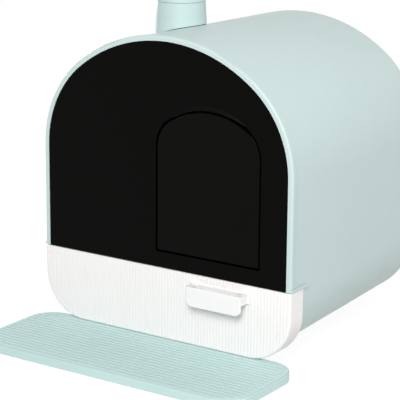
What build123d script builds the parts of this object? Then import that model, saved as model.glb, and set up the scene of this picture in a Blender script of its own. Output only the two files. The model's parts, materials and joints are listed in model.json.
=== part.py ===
from build123d import *
import os
from math import atan2, cos, degrees, radians, sin, sqrt

# Covered litter box: a barrel hood with a cat flap, a litter drawer, a vent stack and a step.
# Millimetres. X is to the right seen from the front, Y points to the back, the floor is z = 0.

# Barrel hood, measured over the rim at the front
body_width = 400.0
body_depth = 365.0
side_height = 245.1
crown_drop = 32.4
shoulder_share = 0.90
hood_corner_radius = 80.0
hood_corner_growth_share = 0.056
wall = 3.0
draft_share = 0.015
back_edge_radius = 14.0

# Rim bead and the ledge that the front panel sits on
rim_face_width = 7.2
rim_depth = 8.0
rim_proud = 1.5
rim_edge_radius = 2.8
ledge_width = 11.0
ledge_thickness = 3.0
ledge_hole_gap = 0.3

# Eave lip over each side of the drawer front
eave_thickness = 3.0
eave_length = 42.0
eave_proud = 3.0
eave_corner_radius = 2.0

# Front panel
panel_thickness = 3.0
panel_recess = 0.5
panel_seam = 0.3
panel_corner_radius = 2.0
panel_rib_thickness = 2.5
panel_rib_depth = 12.0
panel_post_height_shares = (0.2, 0.85)
panel_post_angle_shares = (-0.8, -0.3, 0.3, 0.8)

# Cat door opening, with its tunnel behind the panel and the bevel over its arch
door_right_margin = 47.8
door_width = 164.0
door_sill = 21.3
door_side_height = 144.3
door_rise = 55.0
door_shoulder_share = 0.78
door_corner_radius = 2.0
bevel_width = 7.3
bevel_depth = 2.2
bevel_edge_radius = 0.6
tunnel_wall = 2.5
tunnel_depth = 10.0

# Cat flap and its pivot pins
door_gap = 2.5
flap_recess = 0.3
flap_thickness = 3.0
flap_rim_width = 5.0
flap_rim_depth = 2.5
flap_corner_radius = 1.5
flap_dish_corner_radius = 1.0
flap_edge_radius = 0.8
pivot_drop = 8.0
pivot_setback = 4.2
pivot_boss_radius = 3.6
pivot_boss_length = 18.0
pin_radius = 2.0
pin_grip = 14.0
running_fit = 0.05

# Drawer front
drawer_height = 98.8
drawer_gap = 1.2
drawer_corner_radius = 63.0
fascia_depth = 32.0
fascia_gap = 1.5
fascia_wall = 3.0
fascia_edge_radius = 3.0
fascia_top_radius = 0.8
flute_pitch = 4.9
flute_width = 3.4
flute_depth = 0.35

# Drawer handle
handle_right_margin = 64.0
handle_width = 85.0
handle_height = 27.0
handle_drop = 11.0
handle_reach = 20.0
handle_plate = 3.0
handle_cheek = 6.0
handle_cheek_height = 12.5
handle_floor = 3.0
handle_back = 2.5
handle_trough_radius = 6.5
handle_corner_radius = 9.0
handle_edge_radius = 1.5
handle_rim_radius = 0.8
handle_flare = 5.5
handle_flare_land = 0.8

# Litter pan
pan_setback = 16.0
pan_wall = 2.5
pan_height = 78.0
pan_straight = 6.0
pan_clearance = 6.0
pan_back_clearance = 20.0
pan_edge_radius = 20.0
pan_rim_width = 4.0
pan_rim_thickness = 2.5
pan_flange_gap = 0.5
pan_post_heights = (58.0, 76.0)
pan_post_spread = 90.0

# Rails on the hood's floor, and the ribs under the pan that straddle them
rail_height = 2.3
rail_width = 5.0
rail_inset = 18.0
rail_back_gap = 8.0
seat_gap = 0.3
guide_gap = 0.6
guide_rib_width = 2.5

# Vent stack
stack_left_margin = 130.0
stack_setback = 142.0
stack_top_radius = 34.0
stack_taper_share = 0.058
stack_height = 39.9
stack_wall = 2.5
stack_post_radius = 4.5
stack_post_count = 3
vent_radius = 18.0
vent_boss_radius = 6.0
vent_boss_depth = 12.0
gasket_thickness = 0.8
gasket_width = 5.0
gasket_inset = 1.6
saddle_gap = 0.1

# Cap, filter basket and filter
cap_height = 26.0
cap_seam = 0.5
cap_wall = 2.5
cap_edge_radius = 7.0
cap_spigot_length = 8.0
cap_spigot_gap = 0.3
cap_spigot_wall = 2.0
cap_shoulder = 3.5
cap_slot_count = 12
cap_slot_width = 3.0
cap_slot_inner_radius = 7.0
cap_slot_outer_radius = 22.0
basket_radius = 24.0
basket_length = 32.0
basket_wall = 1.6
basket_rim_height = 3.0
basket_rim_gap = 0.1
basket_slot_count = 16
basket_slot_width = 4.0
basket_slot_margin = 5.0
basket_hole_radius = 3.0
basket_hole_count = 6
basket_hole_ring = 13.0
filter_gap = 0.3
filter_headroom = 3.0

# Step
step_width = 419.0
step_reach = 145.0
step_tuck = 12.0
step_thickness = 14.0
step_corner_radius = 38.0
step_edge_radius = 2.5
rib_pitch = 8.5
rib_groove_width = 4.6
rib_groove_depth = 1.4
rib_border = 4.5
step_skin = 4.5
step_web = 2.5
step_pocket_pitch = 45.0
pad_radius = 11.0
pad_thickness = 3.0
pad_proud = 1.0
pad_pillar = 3.0
pad_inset = 32.0
pad_gap = 0.1

# Feet
foot_slide_gap = 0.4
foot_radius = 16.0
foot_base_radius = 13.5
foot_edge_chamfer = 1.0
foot_stem_radius = 4.0
foot_stem_gap = 0.1
foot_margin = 3.0
foot_front_setback = 70.0
foot_back_setback = 60.0

# Screws and the posts that they hold
screw_head_radius = 5.0
screw_head_height = 2.2
screw_shank_radius = 1.4
screw_tip_gap = 0.5
screw_hole_gap = 0.3
post_radius = 3.4
post_skin = 1.0

# Cuts run this far past the faces that they open
overrun = 1.0

# Levels and stations worked out from the sizes above
front_y = (step_reach - body_depth) / 2
back_y = front_y + body_depth
base_z = step_thickness + foot_slide_gap
spring_z = base_z + side_height
drawer_top_z = base_z + drawer_height
eave_z = drawer_top_z + drawer_gap
floor_z = base_z + wall

arch_rise = body_width / 2 - crown_drop
skin_half = body_width / 2 - rim_proud
skin_rise = arch_rise - rim_proud
skin_shoulder = shoulder_share * arch_rise - rim_proud

panel_front_y = front_y + panel_recess
panel_back_y = panel_front_y + panel_thickness
ledge_back_y = panel_back_y + ledge_thickness
panel_inset = rim_face_width - rim_proud + panel_seam
ledge_inset = rim_face_width - rim_proud + ledge_width
post_inset = (panel_inset + ledge_inset) / 2

door_offset = body_width / 2 - door_right_margin - door_width / 2
door_sill_z = eave_z + door_sill
door_spring_z = door_sill_z + door_side_height
flap_front_y = panel_front_y + flap_recess
flap_back_y = flap_front_y + flap_thickness
pivot_y = flap_front_y + pivot_setback
pivot_z = door_spring_z - pivot_drop
tunnel_back_y = panel_back_y + tunnel_depth

fascia_back_y = front_y + fascia_depth
fascia_plate_y = front_y + fascia_wall
handle_offset = body_width / 2 - handle_right_margin - handle_width / 2
handle_top_z = drawer_top_z - handle_drop
handle_bottom_z = handle_top_z - handle_height
handle_floor_z = handle_top_z - handle_cheek_height
handle_screw_z = (handle_top_z + handle_floor_z) / 2
handle_screw_spread = handle_width - handle_cheek

pan_front_y = front_y + pan_setback
pan_back_y = back_y - wall - pan_back_clearance
pan_base_z = floor_z + rail_height + seat_gap
pan_top_z = pan_base_z + pan_height
pan_corner_radius = pan_height - pan_straight
flange_inset = fascia_wall + pan_flange_gap
flange_half = body_width / 2 - flange_inset - draft_share * pan_setback
flange_top_z = drawer_top_z - flange_inset

stack_offset = stack_left_margin - body_width / 2
stack_y = front_y + stack_setback

step_front_y = front_y - step_reach
step_back_y = front_y + step_tuck
step_depth = step_reach + step_tuck

BOTTOM = (Align.CENTER, Align.CENTER, Align.MIN)
TOP = (Align.CENTER, Align.CENTER, Align.MAX)
OUTWARD = (Align.MIN, Align.CENTER, Align.MIN)


# Outlines and working planes

def station(y):
    """Upright plane at depth y, with X to the right and Z up."""
    return Plane.XZ.offset(-y)


def slab(face, front, back):
    """Solid that carries an upright outline from one depth to another."""
    return extrude(station(front) * face, amount=front - back)


def block(x_range, y_range, z_range):
    """Rectangular solid between the given limits."""
    size = [high - low for low, high in (x_range, y_range, z_range)]
    centre = [(high + low) / 2 for low, high in (x_range, y_range, z_range)]
    return Pos(*centre) * Box(*size)


def crown_circle(half, spring, rise, shoulder):
    """Radius and centre height of the crown of a three-centre arch."""
    side = half - shoulder
    radius = (side**2 + rise**2 - shoulder**2) / (2 * (rise - shoulder))
    return radius, spring + rise - radius


def arch_face(half, base, corner, spring, rise, shoulder):
    """Flat base with rounded corners, straight sides and a three-centre arch."""
    side = half - shoulder
    crown, crown_z = crown_circle(half, spring, rise, shoulder)
    turn = degrees(atan2(spring - crown_z, side))
    return make_face(
        [
            Line((corner - half, base), (half - corner, base)),
            CenterArc((half - corner, base + corner), corner, -90, 90),
            Line((half, base + corner), (half, spring)),
            CenterArc((side, spring), shoulder, 0, turn),
            CenterArc((0, crown_z), crown, turn, 180 - 2 * turn),
            CenterArc((-side, spring), shoulder, 180 - turn, turn),
            Line((-half, spring), (-half, base + corner)),
            CenterArc((corner - half, base + corner), corner, 180, 90),
        ]
    )


def tray_face(half, base, corner, top):
    """Flat top, straight sides and rounded bottom corners."""
    return make_face(
        [
            Line((corner - half, base), (half - corner, base)),
            CenterArc((half - corner, base + corner), corner, -90, 90),
            Polyline((half, base + corner), (half, top), (-half, top), (-half, base + corner)),
            CenterArc((corner - half, base + corner), corner, 180, 90),
        ]
    )


def hood_half_at(y):
    """Half width of the hood's outer skin at depth y."""
    return skin_half - draft_share * (y - front_y)


def hood_corner_at(y):
    """Radius of the hood's bottom corners at depth y."""
    return hood_corner_radius + hood_corner_growth_share * (y - front_y)


def body_face(inset, y):
    """Section of the drafted body at depth y, set in from the outer skin."""
    shrink = inset + draft_share * (y - front_y)
    return station(y) * arch_face(
        skin_half - shrink,
        base_z + inset,
        hood_corner_at(y) - inset,
        spring_z,
        skin_rise - shrink,
        skin_shoulder - shrink,
    )


def body_solid(inset, front, back):
    """Drafted body between two depths, set in from the outer skin."""
    return loft([body_face(inset, front), body_face(inset, back)], ruled=True)


def round_back(solid, radius):
    """Round the edge of a solid's rear face."""
    return fillet(solid.faces().sort_by(Axis.Y)[-1].edges(), radius)


def round_front(solid, radius):
    """Round the edge of a solid's front face."""
    return fillet(solid.faces().sort_by(Axis.Y)[0].edges(), radius)


def fascia_face(inset, y, corner):
    """Section of the drawer front at depth y, set in from its outer face."""
    half = body_width / 2 - inset - draft_share * (y - front_y)
    return station(y) * tray_face(half, base_z + inset, corner - inset, drawer_top_z - inset)


def front_arch(inset, base, corner):
    """Arched outline at the front, set in from the outer skin, on its own base."""
    return arch_face(
        skin_half - inset, base, corner, spring_z, skin_rise - inset, skin_shoulder - inset
    )


def door_arch(margin, corner, extra_rise=0):
    """Outline of the cat door, grown by a margin, with an arch that may rise higher."""
    rise = door_rise + extra_rise
    return Pos(door_offset, 0) * arch_face(
        door_width / 2 + margin,
        door_sill_z - margin,
        corner,
        door_spring_z,
        rise + margin,
        door_shoulder_share * rise + margin,
    )


def skin_height(x, y):
    """Height of the barrel's outer skin above a place under its crown."""
    shrink = draft_share * (y - front_y)
    crown, crown_z = crown_circle(
        skin_half - shrink, spring_z, skin_rise - shrink, skin_shoulder - shrink
    )
    return crown_z + sqrt(crown**2 - x**2)


# Places of the screws

def panel_post_places():
    """Places of the posts behind the front panel, along the middle of the ledge."""
    half = skin_half - post_inset
    places = []
    for share in panel_post_height_shares:
        height = eave_z + share * (spring_z - eave_z)
        places += [(-half, height), (half, height)]
    crown, crown_z = crown_circle(
        half, spring_z, skin_rise - post_inset, skin_shoulder - post_inset
    )
    side = skin_half - skin_shoulder
    sweep = atan2(side, spring_z - crown_z)
    for share in panel_post_angle_shares:
        angle = share * sweep
        places.append((crown * sin(angle), crown_z + crown * cos(angle)))
    return places


def fascia_post_places():
    """Places of the posts behind the drawer front: beside the pan and over its rim."""
    side = (pan_half() + flange_half) / 2
    upper = (pan_top_z + flange_top_z) / 2
    places = [(x, base_z + height) for height in pan_post_heights for x in (-side, side)]
    return places + [(x, upper) for x in (-pan_post_spread, 0, pan_post_spread)]


def handle_screw_places():
    """Places of the two screws in the cheeks of the handle."""
    spread = handle_screw_spread / 2
    return [(handle_offset - spread, handle_screw_z), (handle_offset + spread, handle_screw_z)]


def stack_post_places():
    """Places in plan of the posts inside the foot of the stack."""
    ring = stack_radius_at(skin_height(stack_offset, stack_y)) - stack_wall - stack_post_radius / 2
    places = []
    for index in range(stack_post_count):
        angle = radians(360 / stack_post_count * index)
        places.append((stack_offset + ring * cos(angle), stack_y + ring * sin(angle)))
    return places


def foot_x():
    """Distance of the feet from the middle, so that they stand on the floor's flat part."""
    rear = back_y - foot_back_setback
    return hood_half_at(rear) - hood_corner_at(rear) - foot_radius - foot_margin


def rail_x():
    """Distance of the drawer rails from the middle, inside the feet."""
    return foot_x() - rail_inset


def foot_places():
    """Places in plan of the feet, by name."""
    front = front_y + foot_front_setback
    back = back_y - foot_back_setback
    return {
        "foot_front_left": (-foot_x(), front),
        "foot_front_right": (foot_x(), front),
        "foot_rear_left": (-foot_x(), back),
        "foot_rear_right": (foot_x(), back),
    }


def pad_places():
    """Places in plan of the pads under the corners of the step."""
    spread = step_width / 2 - pad_inset
    return [
        (x, y)
        for y in (step_front_y + pad_inset, step_back_y - pad_inset)
        for x in (-spread, spread)
    ]


def along_y(places, y):
    """Locations at upright places, turned so that their Z runs to the front."""
    return [Pos(x, y, z) * Rot(X=90) for x, z in places]


def rods(places, y, length, radius):
    """Round rods that run to the front from depth y."""
    return [place * Cylinder(radius, length, align=BOTTOM) for place in along_y(places, y)]


def screw(length):
    """Pan-head screw: its head under the origin, and its shank along Z."""
    head = Cylinder(screw_head_radius, screw_head_height, align=TOP)
    head = chamfer(head.edges().sort_by(Axis.Z)[0], screw_head_height / 2)
    return head + Cylinder(screw_shank_radius, length, align=BOTTOM)


# Hood

def hood_shell():
    """Barrel with a closed back, a rim, a panel ledge, drawer rails and a vent hole."""
    rim_outline = front_arch(-rim_proud, base_z, hood_corner_radius + rim_proud)
    rim = round_front(slab(rim_outline, front_y, front_y + rim_depth), rim_edge_radius)
    skin = round_back(body_solid(0, front_y + rim_edge_radius, back_y), back_edge_radius)
    shell = skin + rim

    cavity = body_solid(wall, ledge_back_y, back_y - wall)
    shell -= round_back(cavity, back_edge_radius - wall)
    pocket_inset = rim_face_width - rim_proud
    pocket = front_arch(pocket_inset, base_z, hood_corner_radius - pocket_inset)
    shell -= slab(pocket, front_y - overrun, panel_back_y)
    window = front_arch(ledge_inset, base_z, hood_corner_radius - ledge_inset)
    shell -= slab(window, front_y - overrun, ledge_back_y + overrun)

    mouth_back = fascia_back_y + fascia_gap
    shell -= block((-body_width, body_width), (front_y - overrun, mouth_back), (0, eave_z))
    shell -= rods(panel_post_places(), ledge_back_y + overrun,
                  ledge_thickness + 2 * overrun, post_radius + ledge_hole_gap)

    for side in (-1, 1):
        shell += eave_lip(side)
        shell += floor_rail(side * rail_x(), mouth_back)
    for x, y in foot_places().values():
        shell -= Pos(x, y, base_z - overrun) * Cylinder(
            foot_stem_radius + foot_stem_gap, wall + 2 * overrun, align=BOTTOM
        )

    bosses = [vent_boss(x, y) for x, y in stack_post_places()]
    shell += (Part() + bosses) & skin
    shell -= Pos(stack_offset, stack_y, spring_z) * Cylinder(vent_radius, body_width, align=BOTTOM)
    for x, y in stack_post_places():
        shell -= Pos(x, y, spring_z) * Cylinder(
            screw_shank_radius + screw_hole_gap, body_width, align=BOTTOM
        )
    return shell


def eave_lip(side):
    """Lip along the foot of the side wall, over the return of the drawer front."""
    root = skin_half - wall / 2 - draft_share * eave_length
    tip = skin_half + eave_proud
    lip = block((root, tip), (front_y, front_y + eave_length), (eave_z, eave_z + eave_thickness))
    outer = lip.edges().filter_by(Axis.Z).sort_by(Axis.X)[-2:]
    lip = fillet(outer, eave_corner_radius)
    return lip if side > 0 else mirror(lip, about=Plane.YZ)


def floor_rail(x, front):
    """Low rail that the litter pan slides on."""
    half = rail_width / 2
    end = back_y - wall - back_edge_radius - rail_back_gap
    return block((x - half, x + half), (front, end), (floor_z - wall / 2, floor_z + rail_height))


def vent_boss(x, y):
    """Boss inside the crown, flat underneath, for a screw that holds the stack."""
    top = skin_height(x, y)
    return Pos(x, y, top - vent_boss_depth) * Cylinder(
        vent_boss_radius, 2 * vent_boss_depth, align=BOTTOM
    )


def foot(x, y):
    """Rubber foot: a tapered puck with a stem that plugs into the floor."""
    puck = Cone(foot_base_radius, foot_radius, base_z, align=BOTTOM)
    puck = chamfer(puck.edges().sort_by(Axis.Z)[0], foot_edge_chamfer)
    stem = Pos(0, 0, base_z) * Cylinder(foot_stem_radius, wall, align=BOTTOM)
    return Pos(x, y, 0) * (puck + stem)


# Front panel and cat flap

def front_panel():
    """Arched panel with the door opening, its tunnel, a foot rib and screw posts."""
    panel = slab(front_arch(panel_inset, eave_z, panel_corner_radius), panel_front_y, panel_back_y)
    panel += slab(door_arch(tunnel_wall, door_corner_radius + tunnel_wall), panel_back_y, tunnel_back_y)
    rib_half = skin_half - ledge_inset - panel_seam
    panel += block(
        (-rib_half, rib_half),
        (panel_back_y, panel_back_y + panel_rib_depth),
        (eave_z, eave_z + panel_rib_thickness),
    )
    post_length = ledge_thickness - screw_tip_gap
    panel += rods(panel_post_places(), panel_back_y + post_length, post_length, post_radius)
    pilot_length = post_length + panel_thickness - post_skin
    panel -= rods(panel_post_places(), panel_back_y + post_length, pilot_length,
                  screw_shank_radius + running_fit)

    opening = door_arch(0, door_corner_radius)
    panel -= slab(opening, panel_front_y - overrun, tunnel_back_y + overrun)
    bevel = [
        station(panel_front_y) * door_arch(0, door_corner_radius, bevel_width),
        station(panel_front_y + bevel_depth) * opening,
    ]
    panel -= loft(bevel, ruled=True)
    mouth = panel.faces().sort_by(Axis.Y)[0].inner_wires()[0]
    panel = fillet(mouth.edges(), bevel_edge_radius)
    half = door_width / 2 + tunnel_wall
    bore = Cylinder(pin_radius + running_fit, 2 * half, rotation=(0, 90, 0))
    return panel - Pos(door_offset, pivot_y, pivot_z) * bore


def panel_screws():
    """Screws that clamp the panel's posts to the ledge."""
    length = ledge_thickness + panel_thickness - post_skin - screw_tip_gap
    return Compound([place * screw(length) for place in along_y(panel_post_places(), ledge_back_y)])


def door_flap():
    """Arched flap with a rim behind it and a boss at each pivot."""
    rim_back_y = flap_back_y + flap_rim_depth
    flap = slab(door_arch(-door_gap, flap_corner_radius), flap_front_y, rim_back_y)
    flap = round_front(flap, flap_edge_radius)
    dish = door_arch(-door_gap - flap_rim_width, flap_dish_corner_radius)
    flap -= slab(dish, flap_back_y, rim_back_y + overrun)
    half = door_width / 2 - door_gap
    for side in (-1, 1):
        middle = door_offset + side * (half - pivot_boss_length / 2)
        boss = Cylinder(pivot_boss_radius, pivot_boss_length, rotation=(0, 90, 0))
        flap += Pos(middle, pivot_y, pivot_z) * boss
        grip = door_offset + side * (half - pin_grip / 2)
        socket = Cylinder(pin_radius + running_fit, pin_grip, rotation=(0, 90, 0))
        flap -= Pos(grip, pivot_y, pivot_z) * socket
    return flap


def flap_pin(side):
    """Steel pin from the flap's edge into the wall of the tunnel."""
    length = pin_grip + door_gap + tunnel_wall
    inner = door_width / 2 - door_gap - pin_grip
    middle = door_offset + side * (inner + length / 2)
    return Pos(middle, pivot_y, pivot_z) * Cylinder(pin_radius, length, rotation=(0, 90, 0))


# Drawer

def drawer_front():
    """Fluted front that wraps round the sides, hollow behind, with screw posts."""
    outer = [fascia_face(0, y, drawer_corner_radius) for y in (front_y, fascia_back_y)]
    fascia = loft(outer, ruled=True)
    front_edges = fascia.faces().sort_by(Axis.Y)[0].edges().sort_by(Axis.Z)
    fascia = fillet(front_edges[:-1], fascia_edge_radius)
    top_edges = fascia.faces().sort_by(Axis.Z)[-1].edges().sort_by(Axis.Y)
    fascia = fillet(top_edges[:-1], fascia_top_radius)
    inner = [
        fascia_face(fascia_wall, y, hood_corner_radius)
        for y in (fascia_plate_y, fascia_back_y + overrun)
    ]
    fascia -= loft(inner, ruled=True)
    fascia -= flute_cuts()

    post_length = pan_setback - fascia_wall
    fascia += rods(fascia_post_places(), pan_front_y, post_length, post_radius)
    fascia -= rods(fascia_post_places(), pan_front_y, post_length,
                   screw_shank_radius + running_fit)
    fascia -= rods(handle_screw_places(), fascia_plate_y + overrun,
                   fascia_wall + 2 * overrun, screw_shank_radius + screw_hole_gap)
    return fascia


def vee(width, depth):
    """Outline of a groove cutter, with its tip at the depth under its base line."""
    half = width / 2
    return make_face(Polyline((-half, 0), (0, -depth), (half, 0), close=True))


def flute_cuts():
    """Shallow upright grooves side by side across the drawer front."""
    count = int((body_width - 2 * fascia_edge_radius) / flute_pitch)
    first = -flute_pitch * (count - 1) / 2
    groove = mirror(vee(flute_width, flute_depth), about=Plane.XZ)
    tool = extrude(groove, amount=drawer_height + 2 * overrun)
    return [
        Pos(first + flute_pitch * index, front_y, base_z - overrun) * tool for index in range(count)
    ]


def handle_plan():
    """Plan of the handle: its cheeks flare out to the drawer front in a hollow curve."""
    half = handle_width / 2
    root = half + handle_flare
    turn = -handle_flare_land - handle_flare
    right = [
        Line((root, 0), (root, -handle_flare_land)),
        CenterArc((root, turn), handle_flare, 90, 90),
        Line((half, turn), (half, -handle_reach)),
    ]
    left = [mirror(edge, about=Plane.YZ) for edge in right]
    ends = [Line((-root, 0), (root, 0)), Line((-half, -handle_reach), (half, -handle_reach))]
    return make_face(right + left + ends)


def drawer_handle():
    """Pull with a scooped trough on top and a finger lip that hangs in front."""
    half = handle_width / 2
    out_y = front_y - handle_reach
    tray = extrude(Pos(0, front_y, handle_floor_z) * handle_plan(), amount=handle_cheek_height)
    lip_face = tray_face(half, handle_bottom_z, handle_corner_radius, handle_top_z)
    handle = round_front(tray + slab(lip_face, out_y, out_y + handle_plate), handle_edge_radius)

    trough = block(
        (handle_cheek - half, half - handle_cheek),
        (out_y + handle_plate, front_y - handle_back),
        (handle_floor_z + handle_floor, handle_top_z + overrun),
    )
    open_edges = trough.edges().group_by(Axis.Z)[-1]
    handle -= fillet(trough.edges() - open_edges, handle_trough_radius)
    rim = handle.faces().filter_by(Axis.Z).sort_by(Axis.Z)[-1].inner_wires()[0]
    handle = Pos(handle_offset, 0, 0) * fillet(rim.edges(), handle_rim_radius)
    depth = handle_reach - handle_plate
    return handle - rods(handle_screw_places(), front_y, depth, screw_shank_radius + running_fit)


def handle_screws():
    """Screws from inside the drawer front into the handle's cheeks."""
    length = fascia_wall + handle_reach - handle_plate - screw_tip_gap
    places = along_y(handle_screw_places(), fascia_plate_y)
    return Compound([place * screw(length) for place in places])


def pan_half():
    """Half width of the pan, so that its corners clear those of the hood at the back."""
    hood_inner_half = hood_half_at(pan_back_y) - wall
    corner_step = hood_corner_at(pan_back_y) - wall - pan_corner_radius
    lift = pan_base_z - floor_z
    return hood_inner_half - (2 - sqrt(2)) * corner_step - sqrt(2) * pan_clearance + lift


def pan_solid(inset, front, back, top):
    """Body of the pan, set in from its outer face, with a rounded back."""
    face = tray_face(pan_half() - inset, pan_base_z + inset, pan_corner_radius - inset, top)
    solid = slab(face, front, back - inset)
    rear = solid.faces().sort_by(Axis.Y)[-1].edges()
    return fillet(rear.sort_by(Axis.Z)[:-1], pan_edge_radius - inset)


def drawer_pan():
    """Open litter pan with a turned-out rim, a front flange and guide ribs underneath."""
    pan = pan_solid(0, pan_front_y, pan_back_y, pan_top_z)
    pan += pan_rim()
    pan += extrude(fascia_face(flange_inset, pan_front_y, hood_corner_radius), amount=-pan_wall)
    pan -= pan_solid(pan_wall, pan_front_y + pan_wall, pan_back_y, pan_top_z + overrun)
    for side in (-1, 1):
        for edge in (-1, 1):
            pan += guide_rib(side * rail_x(), edge)
    return pan - rods(fascia_post_places(), pan_front_y + pan_wall + overrun,
                      pan_wall + 2 * overrun, screw_shank_radius + screw_hole_gap)


def pan_rim():
    """Lip round the top of the pan's sides and back."""
    half = pan_half() + pan_rim_width
    rim = block(
        (-half, half),
        (pan_front_y, pan_back_y + pan_rim_width),
        (pan_top_z - pan_rim_thickness, pan_top_z),
    )
    back_corners = rim.edges().filter_by(Axis.Z).group_by(Axis.Y)[-1]
    return fillet(back_corners, pan_edge_radius + pan_rim_width)


def guide_rib(rail_x, edge):
    """Rib under the pan, beside a rail."""
    near = rail_x + edge * (rail_width / 2 + guide_gap)
    far = near + edge * guide_rib_width
    return block(
        (min(near, far), max(near, far)),
        (pan_front_y, pan_back_y - pan_edge_radius),
        (floor_z + guide_gap, pan_base_z + pan_wall / 2),
    )


def drawer_front_screws():
    """Screws through the pan's flange into the posts of the drawer front."""
    length = pan_wall + pan_setback - fascia_wall - screw_tip_gap
    places = along_y(fascia_post_places(), pan_front_y + pan_wall)
    return Compound([place * screw(length) for place in places])


# Vent stack

def stack_radius_at(z):
    """Outer radius of the tapered stack at a height."""
    return stack_top_radius + stack_taper_share * (stack_top_z() - z)


def stack_top_z():
    """Height of the stack's top edge."""
    return skin_height(stack_offset, stack_y) + stack_height


def stack_cone(inset, low, high):
    """Solid of the tapered stack between two heights, set in from its outer face."""
    cone = Cone(stack_radius_at(low) - inset, stack_radius_at(high) - inset, high - low, align=BOTTOM)
    return Pos(stack_offset, stack_y, low) * cone


def saddle(lift):
    """Barrel grown by a lift, to cut a saddle with."""
    return body_solid(-lift, front_y, back_y)


def chimney_stack():
    """Tapered tube cut to a saddle, with screw posts inside its foot."""
    top = stack_top_z()
    foot_z = spring_z
    stack = stack_cone(0, foot_z, top) - stack_cone(stack_wall, foot_z, top + overrun)
    post_top = skin_height(stack_offset, stack_y) + stack_height / 2
    tube_core = stack_cone(stack_wall / 2, foot_z, top)
    for x, y in stack_post_places():
        post = Pos(x, y, foot_z) * Cylinder(stack_post_radius, post_top - foot_z, align=BOTTOM)
        stack += post & tube_core
    for x, y in stack_post_places():
        pilot_top = post_top - post_skin
        stack -= Pos(x, y, foot_z) * Cylinder(
            screw_shank_radius + running_fit, pilot_top - foot_z, align=BOTTOM
        )
    stack -= saddle(gasket_thickness + saddle_gap)
    return stack


def chimney_gasket():
    """Saddle-shaped ring between the stack and the barrel."""
    foot_z = spring_z
    top = stack_top_z()
    ring = stack_cone(gasket_inset, foot_z, top) - stack_cone(gasket_inset + gasket_width, foot_z, top)
    for x, y in stack_post_places():
        ring -= Pos(x, y, foot_z) * Cylinder(
            screw_shank_radius + screw_hole_gap, top - foot_z, align=BOTTOM
        )
    return (ring & saddle(gasket_thickness)) - saddle(saddle_gap)


def chimney_screws():
    """Screws up through the bosses into the posts of the stack."""
    post_top = skin_height(stack_offset, stack_y) + stack_height / 2
    screws = []
    for x, y in stack_post_places():
        seat = skin_height(x, y) - vent_boss_depth
        screws.append(Pos(x, y, seat) * screw(post_top - post_skin - screw_tip_gap - seat))
    return Compound(screws)


def cap_bore_radius():
    """Inner radius of the cap's spigot, which holds the basket's rim."""
    return stack_top_radius - stack_wall - cap_spigot_gap - cap_spigot_wall


def chimney_cap():
    """Lift-off cap: a rounded lid with vent slots and a spigot that enters the stack."""
    low = cap_seam
    lid = Pos(0, 0, low) * Cone(
        stack_top_radius, stack_top_radius - stack_taper_share * cap_height, cap_height, align=BOTTOM
    )
    lid = fillet(lid.edges().sort_by(Axis.Z)[-1], cap_edge_radius)
    spigot_radius = cap_bore_radius() + cap_spigot_wall
    lid += Pos(0, 0, -cap_spigot_length) * Cylinder(
        spigot_radius, cap_spigot_length + low + cap_wall, align=BOTTOM
    )
    bore_depth = cap_spigot_length + basket_rim_height
    lid -= Pos(0, 0, -cap_spigot_length) * Cylinder(cap_bore_radius(), bore_depth, align=BOTTOM)
    dome_top = low + cap_height - cap_wall
    lid -= Cylinder(cap_bore_radius() - cap_shoulder, dome_top, align=BOTTOM)
    lid -= cap_slots(dome_top)
    return Pos(stack_offset, stack_y, stack_top_z()) * lid


def cap_slots(low):
    """Ring of radial vent slots through the top of the cap."""
    length = cap_slot_outer_radius - cap_slot_inner_radius
    slot = extrude(SlotOverall(length, cap_slot_width), amount=cap_wall + 2 * overrun)
    ring = PolarLocations(cap_slot_inner_radius + length / 2, cap_slot_count)
    return [Pos(0, 0, low - overrun) * place * slot for place in ring]


def filter_basket():
    """Slotted basket that hangs in the stack under the cap."""
    rim_top = basket_rim_height
    bottom = rim_top - basket_length
    basket = Pos(0, 0, bottom) * Cylinder(basket_radius, basket_length, align=BOTTOM)
    rim_radius = cap_bore_radius() - basket_rim_gap
    basket += Cylinder(rim_radius, rim_top, align=BOTTOM)
    basket -= Pos(0, 0, bottom + basket_wall) * Cylinder(
        basket_radius - basket_wall, basket_length, align=BOTTOM
    )
    slot_height = basket_length - basket_rim_height - 2 * basket_slot_margin
    slot = Box(basket_radius, basket_slot_width, slot_height, align=OUTWARD)
    slot_ring = PolarLocations(basket_radius - 2 * basket_wall, basket_slot_count)
    basket -= [Pos(0, 0, bottom + basket_slot_margin) * place * slot for place in slot_ring]
    hole = Cylinder(basket_hole_radius, basket_wall + 2 * overrun, align=BOTTOM)
    hole_ring = PolarLocations(basket_hole_ring, basket_hole_count)
    basket -= [Pos(0, 0, bottom - overrun) * place * hole for place in hole_ring]
    return Pos(stack_offset, stack_y, stack_top_z()) * basket


def carbon_filter():
    """Carbon pad in the basket."""
    bottom = basket_rim_height - basket_length + basket_wall
    radius = basket_radius - basket_wall - filter_gap
    height = basket_length - basket_wall - filter_headroom
    pad = Cylinder(radius, height, align=BOTTOM)
    return Pos(stack_offset, stack_y, stack_top_z() + bottom) * pad


# Step

def step_plan(inset):
    """Plan of the step, set in from its edge."""
    outline = RectangleRounded(
        step_width - 2 * inset, step_depth - 2 * inset, step_corner_radius - inset
    )
    return Pos(0, (step_front_y + step_back_y) / 2) * outline


def step_board():
    """Ribbed board with webs underneath and sockets for its pads."""
    board = extrude(Pos(0, 0, pad_proud) * step_plan(0), amount=step_thickness - pad_proud)
    board = fillet(board.edges().group_by(Axis.Z)[-1], step_edge_radius)
    board -= rib_grooves()
    board -= step_pockets()
    socket_depth = pad_thickness - pad_proud + pad_gap
    for x, y in pad_places():
        board -= Pos(x, y, pad_proud) * Cylinder(pad_radius + pad_gap, socket_depth, align=BOTTOM)
    return board


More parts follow.
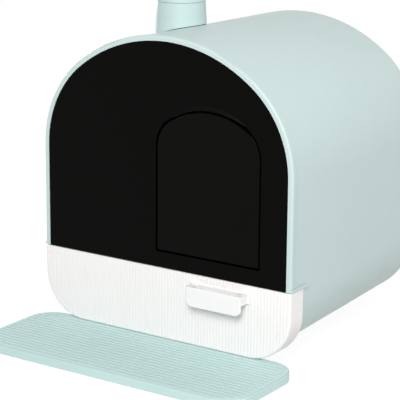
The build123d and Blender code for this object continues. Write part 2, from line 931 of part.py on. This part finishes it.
def rib_grooves():
    """Grooves across the step, inside a plain border."""
    count = int((step_depth - 2 * rib_border) / rib_pitch)
    middle = (step_front_y + step_back_y) / 2
    first = middle - rib_pitch * (count - 1) / 2
    groove = Plane.YZ * vee(rib_groove_width, rib_groove_depth)
    tool = extrude(groove, amount=step_width / 2, both=True)
    grooves = [Pos(0, first + rib_pitch * index, step_thickness) * tool for index in range(count)]
    field = extrude(Pos(0, 0, pad_proud) * step_plan(rib_border), amount=step_thickness)
    return (Part() + grooves) & field


def step_pockets():
    """Long pockets under the step between its webs, clear of the pads' pillars."""
    depth = step_thickness - pad_proud - step_skin
    rows = int(step_depth / step_pocket_pitch)
    pitch = (step_depth - step_web) / rows
    first = (step_front_y + step_back_y) / 2 - pitch * (rows - 1) / 2
    cell = Box(step_width, pitch - step_web, depth, align=BOTTOM)
    cells = Part() + [Pos(0, first + pitch * row, pad_proud) * cell for row in range(rows)]
    pockets = cells & extrude(Pos(0, 0, pad_proud) * step_plan(step_web), amount=depth)
    for x, y in pad_places():
        pockets -= Pos(x, y, pad_proud) * Cylinder(pad_radius + pad_pillar, depth, align=BOTTOM)
    return pockets


def step_pad(x, y):
    """Rubber pad in a socket under the step."""
    return Pos(x, y, 0) * Cylinder(pad_radius, pad_thickness, align=BOTTOM)


# The whole assembly, one solid or group of like solids per node

def assembly():
    """Every node by name."""
    nodes = {
        "hood_shell": hood_shell(),
        "front_panel": front_panel(),
        "panel_screws": panel_screws(),
        "door_flap": door_flap(),
        "flap_pin_left": flap_pin(-1),
        "flap_pin_right": flap_pin(1),
        "drawer_front": drawer_front(),
        "drawer_front_screws": drawer_front_screws(),
        "drawer_handle": drawer_handle(),
        "handle_screws": handle_screws(),
        "drawer_pan": drawer_pan(),
        "chimney_stack": chimney_stack(),
        "chimney_gasket": chimney_gasket(),
        "chimney_screws": chimney_screws(),
        "chimney_cap": chimney_cap(),
        "filter_basket": filter_basket(),
        "carbon_filter": carbon_filter(),
        "step_board": step_board(),
    }
    for index, (x, y) in enumerate(pad_places(), start=1):
        nodes[f"step_pad_{index}"] = step_pad(x, y)
    for name, (x, y) in foot_places().items():
        nodes[name] = foot(x, y)
    return nodes


os.makedirs("parts", exist_ok=True)
for node, shape in assembly().items():
    export_step(shape, f"parts/{node}.step")
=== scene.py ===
import json
import math

import bmesh
import bpy
from mathutils import Matrix, Vector


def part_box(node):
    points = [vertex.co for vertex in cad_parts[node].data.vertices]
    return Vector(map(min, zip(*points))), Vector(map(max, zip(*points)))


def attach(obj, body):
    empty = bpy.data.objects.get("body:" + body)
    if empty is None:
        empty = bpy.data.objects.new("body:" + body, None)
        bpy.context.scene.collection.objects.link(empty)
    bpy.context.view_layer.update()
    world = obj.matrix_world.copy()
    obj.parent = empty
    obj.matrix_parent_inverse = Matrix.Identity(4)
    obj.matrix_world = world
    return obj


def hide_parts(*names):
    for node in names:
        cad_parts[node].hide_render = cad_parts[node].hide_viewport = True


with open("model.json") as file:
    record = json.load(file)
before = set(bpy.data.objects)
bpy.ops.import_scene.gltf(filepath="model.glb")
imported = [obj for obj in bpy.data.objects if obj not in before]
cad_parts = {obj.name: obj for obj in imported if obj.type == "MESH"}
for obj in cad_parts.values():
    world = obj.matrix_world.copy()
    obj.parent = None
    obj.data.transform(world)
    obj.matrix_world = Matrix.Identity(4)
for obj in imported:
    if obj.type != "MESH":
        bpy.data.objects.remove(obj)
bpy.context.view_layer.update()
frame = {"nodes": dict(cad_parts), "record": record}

# Camera of the photograph: metres, degrees, and millimetres for the lens
CAMERA_PLACE = (1.2326, -1.8539, 0.7589)
CAMERA_YAW = 33.84
CAMERA_PITCH = 13.95
CAMERA_ROLL = -0.46
CAMERA_LENS = 149.68
CAMERA_SENSOR = 36.0
CAMERA_SHIFT = (-0.0065, -0.0375)
LEVEL_TILT = 90.0

# Linear colours of the surfaces
MINT = (0.555, 0.678, 0.664)
STACK_MINT = (0.520, 0.660, 0.648)
STEP_MINT = (0.548, 0.734, 0.716)
WHITE = (0.915, 0.890, 0.878)
HANDLE_WHITE = (0.893, 0.888, 0.880)
PAN_WHITE = (0.82, 0.82, 0.80)
BLACK = (0.0009, 0.0009, 0.0006)
FLAP_BLACK = (0.0022, 0.0022, 0.0018)
RUBBER = (0.035, 0.037, 0.037)
FELT = (0.012, 0.012, 0.013)
STEEL = (0.60, 0.60, 0.58)
BLACK_STEEL = (0.010, 0.010, 0.010)

# Moulded finishes: roughness, grains per metre, depth of the grain in metres, wander of the colour
HOOD_FINISH = {"roughness": 0.46, "grain": 1500.0, "relief": 0.00002, "wander": 0.012}
STEP_FINISH = {"roughness": 0.55, "grain": 1300.0, "relief": 0.00003, "wander": 0.015}
WHITE_FINISH = {"roughness": 0.42, "grain": 1600.0, "relief": 0.000015, "wander": 0.008}
PAN_FINISH = {"roughness": 0.50, "grain": 1400.0, "relief": 0.00003, "wander": 0.012}
GLOSS_FINISH = {"roughness": 0.10, "grain": 160.0, "relief": 0.000004, "wander": 0.05}
RUBBER_FINISH = {"roughness": 0.72, "grain": 1800.0, "relief": 0.00006, "wander": 0.18}

# Strength of the mirror-like reflection
PLASTIC_SPECULAR = 0.5
GLOSS_SPECULAR = 0.05
RUBBER_SPECULAR = 0.35

# Patches per metre in which tone and gloss wander on plastic, and how far the gloss wanders
TONE_PATCHES = 7.0
GLOSS_PATCHES = 45.0
GLOSS_WANDER = 0.12

# Detail of each noise, and the range that most of its values lie in
TONE_DETAIL = 2.0
GRAIN_DETAIL = 3.0
GLOSS_DETAIL = 4.0
MARK_DETAIL = 5.0
FIBRE_DETAIL = 6.0
NOISE_RANGE = (1 / 3, 2 / 3)

# Carbon felt: fibres per metre, their depth in metres, wander of the colour, roughness and sheen
FELT_FIBRES = 900.0
FELT_RELIEF = 0.0006
FELT_WANDER = 0.6
FELT_ROUGHNESS = 0.95
FELT_SHEEN = 0.3

# Steel: turning marks per metre, their depth in metres, wander of the colour, and range of roughness
STEEL_MARKS = 1600.0
STEEL_RELIEF = 0.00001
STEEL_WANDER = 0.08
STEEL_ROUGHNESS = (0.24, 0.40)

# Painted shade in seams and hollows: share of the colour that is lost, reach in metres, and samples
HOOD_SHADE = 0.3
STACK_SHADE = 0.35
WHITE_SHADE = 0.25
HANDLE_SHADE = 0.55
SEAM_REACH = 0.004
HOLLOW_REACH = 0.012
SHADE_SAMPLES = 8

# The step's grooves: depth in metres, share of the colour lost to painted shade, and the upward lean
# of a face's normal at which the painted shade starts and is full; this lean also puts a painted dark line
# along the middle of the step's rounded edges
GROOVE_DEPTH = 0.0014
GROOVE_SHADE = 0.44
GROOVE_LEAN = (0.35, 0.60)

# The groove under the drawer's foot: the most that its bottom lies from the foot's front,
# slack for its depth, and distance at which points are one, in metres
FOOT_REACH = 0.004
BOTTOM_MARGIN = 0.00001
WELD = 0.000001
SHARP_ANGLE = math.radians(25)

# Softboxes: place and width in metres, power in watts
LAMPS = {
    "key": {"place": (1.1, -2.1, 1.55), "size": 1.0, "power": 50.0},
    "side": {"place": (2.4, 0.3, 1.2), "size": 1.2, "power": 10.5},
    "back": {"place": (-2.8, 1.5, 0.4), "size": 0.8, "power": 22.0},
}
LAMP_TARGET = (0.0, 0.0, 0.2)

# Backdrop and floor
BACKDROP = (1.0, 1.0, 1.0)
SEEN_LEVEL = 1.0
WORLD_LEVEL = 0.50
FLOOR_SIZE = 40.0
FLOOR_ALBEDO = 0.60
FLOOR_SEEN_ALBEDO = 0.12
FLOOR_GLOW = 0.93


# Node helpers

def remap(tree, value, source, target=(0.0, 1.0)):
    """Maps one range of a value to another, and holds it at both ends."""
    node = tree.nodes.new("ShaderNodeMapRange")
    node.inputs["From Min"].default_value, node.inputs["From Max"].default_value = source
    node.inputs["To Min"].default_value, node.inputs["To Max"].default_value = target
    tree.links.new(value, node.inputs["Value"])
    return node.outputs["Result"]


def combine(tree, operation, first, second):
    """Result of an operation on two values."""
    node = tree.nodes.new("ShaderNodeMath")
    node.operation = operation
    tree.links.new(first, node.inputs[0])
    tree.links.new(second, node.inputs[1])
    return node.outputs["Value"]


def upward(tree, vector):
    """Z part of a vector."""
    node = tree.nodes.new("ShaderNodeSeparateXYZ")
    tree.links.new(vector, node.inputs["Vector"])
    return node.outputs["Z"]


def noise(tree, place, scale, detail):
    """Noise in the object's own metres, with a number of grains per metre."""
    node = tree.nodes.new("ShaderNodeTexNoise")
    node.inputs["Scale"].default_value = scale
    node.inputs["Detail"].default_value = detail
    tree.links.new(place.outputs["Object"], node.inputs["Vector"])
    return node.outputs["Fac"]


def mix_colour(tree, value, first, second):
    """Colour between two others, each fixed or from a node."""
    mix = tree.nodes.new("ShaderNodeMix")
    mix.data_type = "RGBA"
    tree.links.new(value, mix.inputs["Factor"])
    for socket, colour in (("A", first), ("B", second)):
        if isinstance(colour, bpy.types.NodeSocket):
            tree.links.new(colour, mix.inputs[socket])
        else:
            mix.inputs[socket].default_value = (*colour, 1)
    return mix.outputs["Result"]


def vary_colour(tree, value, colour, amount):
    """Colour that wanders a little about its mean."""
    low = [c * (1 - amount) for c in colour]
    high = [min(1, c * (1 + amount)) for c in colour]
    return mix_colour(tree, remap(tree, value, NOISE_RANGE), low, high)


def paint_crevice_shade(tree, unshaded, colour, shade, reach):
    """Painted shade: colour that falls off in seams and hollows by their ambient occlusion."""
    hollow = tree.nodes.new("ShaderNodeAmbientOcclusion")
    hollow.inputs["Distance"].default_value = reach
    hollow.only_local = True
    hollow.samples = SHADE_SAMPLES
    return mix_colour(tree, hollow.outputs["AO"], [c * (1 - shade) for c in colour], unshaded)


def paint_groove_shade(tree, place, unshaded, colour, top):
    """Painted shade: colour that falls off with depth below a ribbed top face, and not on its upright
    sides.
    """
    depth = remap(tree, upward(tree, place.outputs["Object"]), (top, top - GROOVE_DEPTH))
    lean = remap(tree, upward(tree, place.outputs["Normal"]), GROOVE_LEAN)
    sunk = combine(tree, "MULTIPLY", depth, lean)
    return mix_colour(tree, sunk, unshaded, [c * (1 - GROOVE_SHADE) for c in colour])


def add_bump(tree, shader, height, depth):
    """Surface relief of a real depth in metres."""
    bump = tree.nodes.new("ShaderNodeBump")
    bump.inputs["Distance"].default_value = depth
    tree.links.new(height, bump.inputs["Height"])
    tree.links.new(bump.outputs["Normal"], shader.inputs["Normal"])


# Materials

def new_material(name):
    """New node material, its tree, its shader and a node for the place on the object."""
    material = bpy.data.materials.new(name)
    material.use_nodes = True
    tree = material.node_tree
    shader = tree.nodes["Principled BSDF"]
    place = tree.nodes.new("ShaderNodeTexCoord")
    return material, tree, shader, place


def moulded(name, colour, finish, specular=PLASTIC_SPECULAR, shade=0.0, reach=SEAM_REACH, ribbed_top=None):
    """Moulded plastic or rubber: a fine grain, colour and gloss that wander a little, and painted shade in
    seams, hollows and grooves where asked.
    """
    material, tree, shader, place = new_material(name)
    tone = noise(tree, place, TONE_PATCHES, TONE_DETAIL)
    tone = vary_colour(tree, tone, colour, finish["wander"])
    # Painted shade in seams and hollows
    if shade:
        tone = paint_crevice_shade(tree, tone, colour, shade, reach)
    # Painted shade down the step's grooves and along the middle of its rounded edges
    if ribbed_top is not None:
        tone = paint_groove_shade(tree, place, tone, colour, ribbed_top)
    tree.links.new(tone, shader.inputs["Base Color"])
    roughness = finish["roughness"]
    gloss_range = (roughness * (1 - GLOSS_WANDER), roughness * (1 + GLOSS_WANDER))
    gloss = noise(tree, place, GLOSS_PATCHES, GLOSS_DETAIL)
    tree.links.new(remap(tree, gloss, NOISE_RANGE, gloss_range), shader.inputs["Roughness"])
    add_bump(tree, shader, noise(tree, place, finish["grain"], GRAIN_DETAIL), finish["relief"])
    shader.inputs["Specular IOR Level"].default_value = specular
    return material


def felt(name, colour):
    """Matted carbon felt."""
    material, tree, shader, place = new_material(name)
    fibres = noise(tree, place, FELT_FIBRES, FIBRE_DETAIL)
    tree.links.new(vary_colour(tree, fibres, colour, FELT_WANDER), shader.inputs["Base Color"])
    add_bump(tree, shader, fibres, FELT_RELIEF)
    shader.inputs["Roughness"].default_value = FELT_ROUGHNESS
    shader.inputs["Sheen Weight"].default_value = FELT_SHEEN
    return material


def turned_steel(name, colour):
    """Plated or blackened steel with fine turning marks."""
    material, tree, shader, place = new_material(name)
    marks = noise(tree, place, STEEL_MARKS, MARK_DETAIL)
    tree.links.new(vary_colour(tree, marks, colour, STEEL_WANDER), shader.inputs["Base Color"])
    tree.links.new(remap(tree, marks, NOISE_RANGE, STEEL_ROUGHNESS), shader.inputs["Roughness"])
    add_bump(tree, shader, marks, STEEL_RELIEF)
    shader.inputs["Metallic"].default_value = 1.0
    return material


def slot_materials():
    """Material of each of the record's slots."""
    step_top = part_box("step_board")[1][2]
    return {
        "mint_plastic": moulded("mint_satin", MINT, HOOD_FINISH, shade=HOOD_SHADE),
        "step_plastic": moulded("step_satin", STEP_MINT, STEP_FINISH, ribbed_top=step_top),
        "white_plastic": moulded(
            "white_satin", WHITE, WHITE_FINISH, shade=WHITE_SHADE, reach=HOLLOW_REACH
        ),
        "pan_plastic": moulded("pan_satin", PAN_WHITE, PAN_FINISH),
        "black_gloss": moulded("black_gloss", BLACK, GLOSS_FINISH, GLOSS_SPECULAR),
        "gasket_rubber": moulded("gasket_black", RUBBER, RUBBER_FINISH, RUBBER_SPECULAR),
        "foot_rubber": moulded("foot_grey", RUBBER, RUBBER_FINISH, RUBBER_SPECULAR),
        "carbon_felt": felt("carbon_felt", FELT),
        "steel": turned_steel("zinc_steel", STEEL),
        "black_steel": turned_steel("black_steel", BLACK_STEEL),
    }


def own_materials():
    """Materials of the nodes that differ a little from the rest of their slot."""
    stack = moulded("stack_satin", STACK_MINT, HOOD_FINISH, shade=STACK_SHADE)
    return {
        # The handle gets a larger share of painted shade in its trough and hollows
        "drawer_handle": moulded(
            "handle_satin", HANDLE_WHITE, WHITE_FINISH, shade=HANDLE_SHADE, reach=HOLLOW_REACH
        ),
        "chimney_stack": stack,
        "chimney_cap": stack,
        "door_flap": moulded("flap_gloss", FLAP_BLACK, GLOSS_FINISH, GLOSS_SPECULAR),
    }


def dress_nodes():
    """Gives every CAD node its material."""
    by_slot = slot_materials()
    own = own_materials()
    for subpart in frame["record"]["subparts"]:
        node = subpart["node"]
        mesh = frame["nodes"][node].data
        mesh.materials.clear()
        mesh.materials.append(own.get(node, by_slot[subpart["material_slot"]]))


# The step's visible shape

def groove_points(shape, top, foot_y):
    """Every point below the top face in the groove that runs along the drawer's foot."""
    found = set()
    for point in shape.verts:
        at_bottom = abs(top - GROOVE_DEPTH - point.co.z) < BOTTOM_MARGIN
        if at_bottom and abs(point.co.y - foot_y) < FOOT_REACH:
            found.add(point)
    waiting = list(found)
    while waiting:
        point = waiting.pop()
        for link in point.link_edges:
            other = link.other_vert(point)
            if other not in found and top - other.co.z > WELD:
                found.add(other)
                waiting.append(other)
    return [point for point in shape.verts if point in found]


def make_step():
    """Step whose top is flat, not grooved, where the drawer's rounded foot stands over it.

    The mesh is copied with its material, so the CAD nodes are dressed first.
    """
    mesh = frame["nodes"]["step_board"].data.copy()
    mesh.name = "step_tread"
    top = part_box("step_board")[1][2]
    foot_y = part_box("drawer_front")[0][1]
    if "custom_normal" in mesh.attributes:
        mesh.attributes.remove(mesh.attributes["custom_normal"])
    shape = bmesh.new()
    shape.from_mesh(mesh)
    bmesh.ops.remove_doubles(shape, verts=shape.verts, dist=WELD)
    bmesh.ops.delete(shape, geom=groove_points(shape, top, foot_y), context="VERTS")
    outline = [side for side in shape.edges if side.is_boundary]
    lid = bmesh.ops.holes_fill(shape, edges=outline, sides=0)["faces"]
    bmesh.ops.triangulate(shape, faces=lid)
    bmesh.ops.recalc_face_normals(shape, faces=shape.faces)
    shape.to_mesh(mesh)
    shape.free()
    mesh.shade_smooth()
    mesh.set_sharp_from_angle(angle=SHARP_ANGLE)
    tread = bpy.data.objects.new("step_tread", mesh)
    bpy.context.scene.collection.objects.link(tread)
    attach(tread, "step")
    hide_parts("step_board")


# Studio

def seen_ray(tree):
    """One for rays from the camera and from reflections, and zero for scattered light."""
    path = tree.nodes.new("ShaderNodeLightPath")
    seen = path.outputs["Is Camera Ray"]
    for ray in ("Is Glossy Ray", "Is Transmission Ray"):
        seen = combine(tree, "MAXIMUM", seen, path.outputs[ray])
    return seen


def make_world():
    """White backdrop to look at, and a softer sky to light with."""
    world = bpy.data.worlds.new("studio")
    world.use_nodes = True
    tree = world.node_tree
    background = tree.nodes["Background"]
    background.inputs["Color"].default_value = (*BACKDROP, 1)
    level = remap(tree, seen_ray(tree), (0.0, 1.0), (WORLD_LEVEL, SEEN_LEVEL))
    tree.links.new(level, background.inputs["Strength"])
    bpy.context.scene.world = world


def matte(tree, albedo):
    """Plain grey scatter."""
    node = tree.nodes.new("ShaderNodeBsdfDiffuse")
    node.inputs["Color"].default_value = (albedo, albedo, albedo, 1)
    return node.outputs["BSDF"]


def make_floor():
    """Pale floor that reads as the white backdrop and keeps the object's shadow."""
    bpy.ops.mesh.primitive_plane_add(size=FLOOR_SIZE, location=(0, 0, 0))
    floor = bpy.context.object
    floor.name = "floor"
    material = bpy.data.materials.new("pale_floor")
    material.use_nodes = True
    tree = material.node_tree
    tree.nodes.remove(tree.nodes["Principled BSDF"])
    glow = tree.nodes.new("ShaderNodeEmission")
    glow.inputs["Strength"].default_value = FLOOR_GLOW
    shown = tree.nodes.new("ShaderNodeAddShader")
    tree.links.new(matte(tree, FLOOR_SEEN_ALBEDO), shown.inputs[0])
    tree.links.new(glow.outputs["Emission"], shown.inputs[1])
    mix = tree.nodes.new("ShaderNodeMixShader")
    tree.links.new(seen_ray(tree), mix.inputs["Fac"])
    tree.links.new(matte(tree, FLOOR_ALBEDO), mix.inputs[1])
    tree.links.new(shown.outputs["Shader"], mix.inputs[2])
    tree.links.new(mix.outputs["Shader"], tree.nodes["Material Output"].inputs["Surface"])
    floor.data.materials.append(material)


def make_lamp(name, place, size, power):
    """Square softbox that faces the object."""
    lamp = bpy.data.lights.new(name, "AREA")
    lamp.size = size
    lamp.energy = power
    holder = bpy.data.objects.new(name, lamp)
    holder.location = place
    aim = Vector(LAMP_TARGET) - Vector(place)
    holder.rotation_euler = aim.to_track_quat("-Z", "Y").to_euler()
    bpy.context.scene.collection.objects.link(holder)


def turn(degrees, axis):
    """Rotation about one axis."""
    return Matrix.Rotation(math.radians(degrees), 4, axis)


def make_camera():
    """Camera at the photograph's viewpoint."""
    lens = bpy.data.cameras.new("photo_camera")
    lens.lens = CAMERA_LENS
    lens.sensor_width = CAMERA_SENSOR
    lens.shift_x, lens.shift_y = CAMERA_SHIFT
    camera = bpy.data.objects.new("photo_camera", lens)
    aim = turn(CAMERA_YAW, "Z") @ turn(LEVEL_TILT - CAMERA_PITCH, "X") @ turn(-CAMERA_ROLL, "Z")
    camera.matrix_world = Matrix.Translation(CAMERA_PLACE) @ aim
    bpy.context.scene.collection.objects.link(camera)
    bpy.context.scene.camera = camera


dress_nodes()
make_step()
make_world()
make_floor()
for lamp_name, lamp_values in LAMPS.items():
    make_lamp(lamp_name, **lamp_values)
make_camera()
bpy.context.scene.view_settings.view_transform = "Standard"
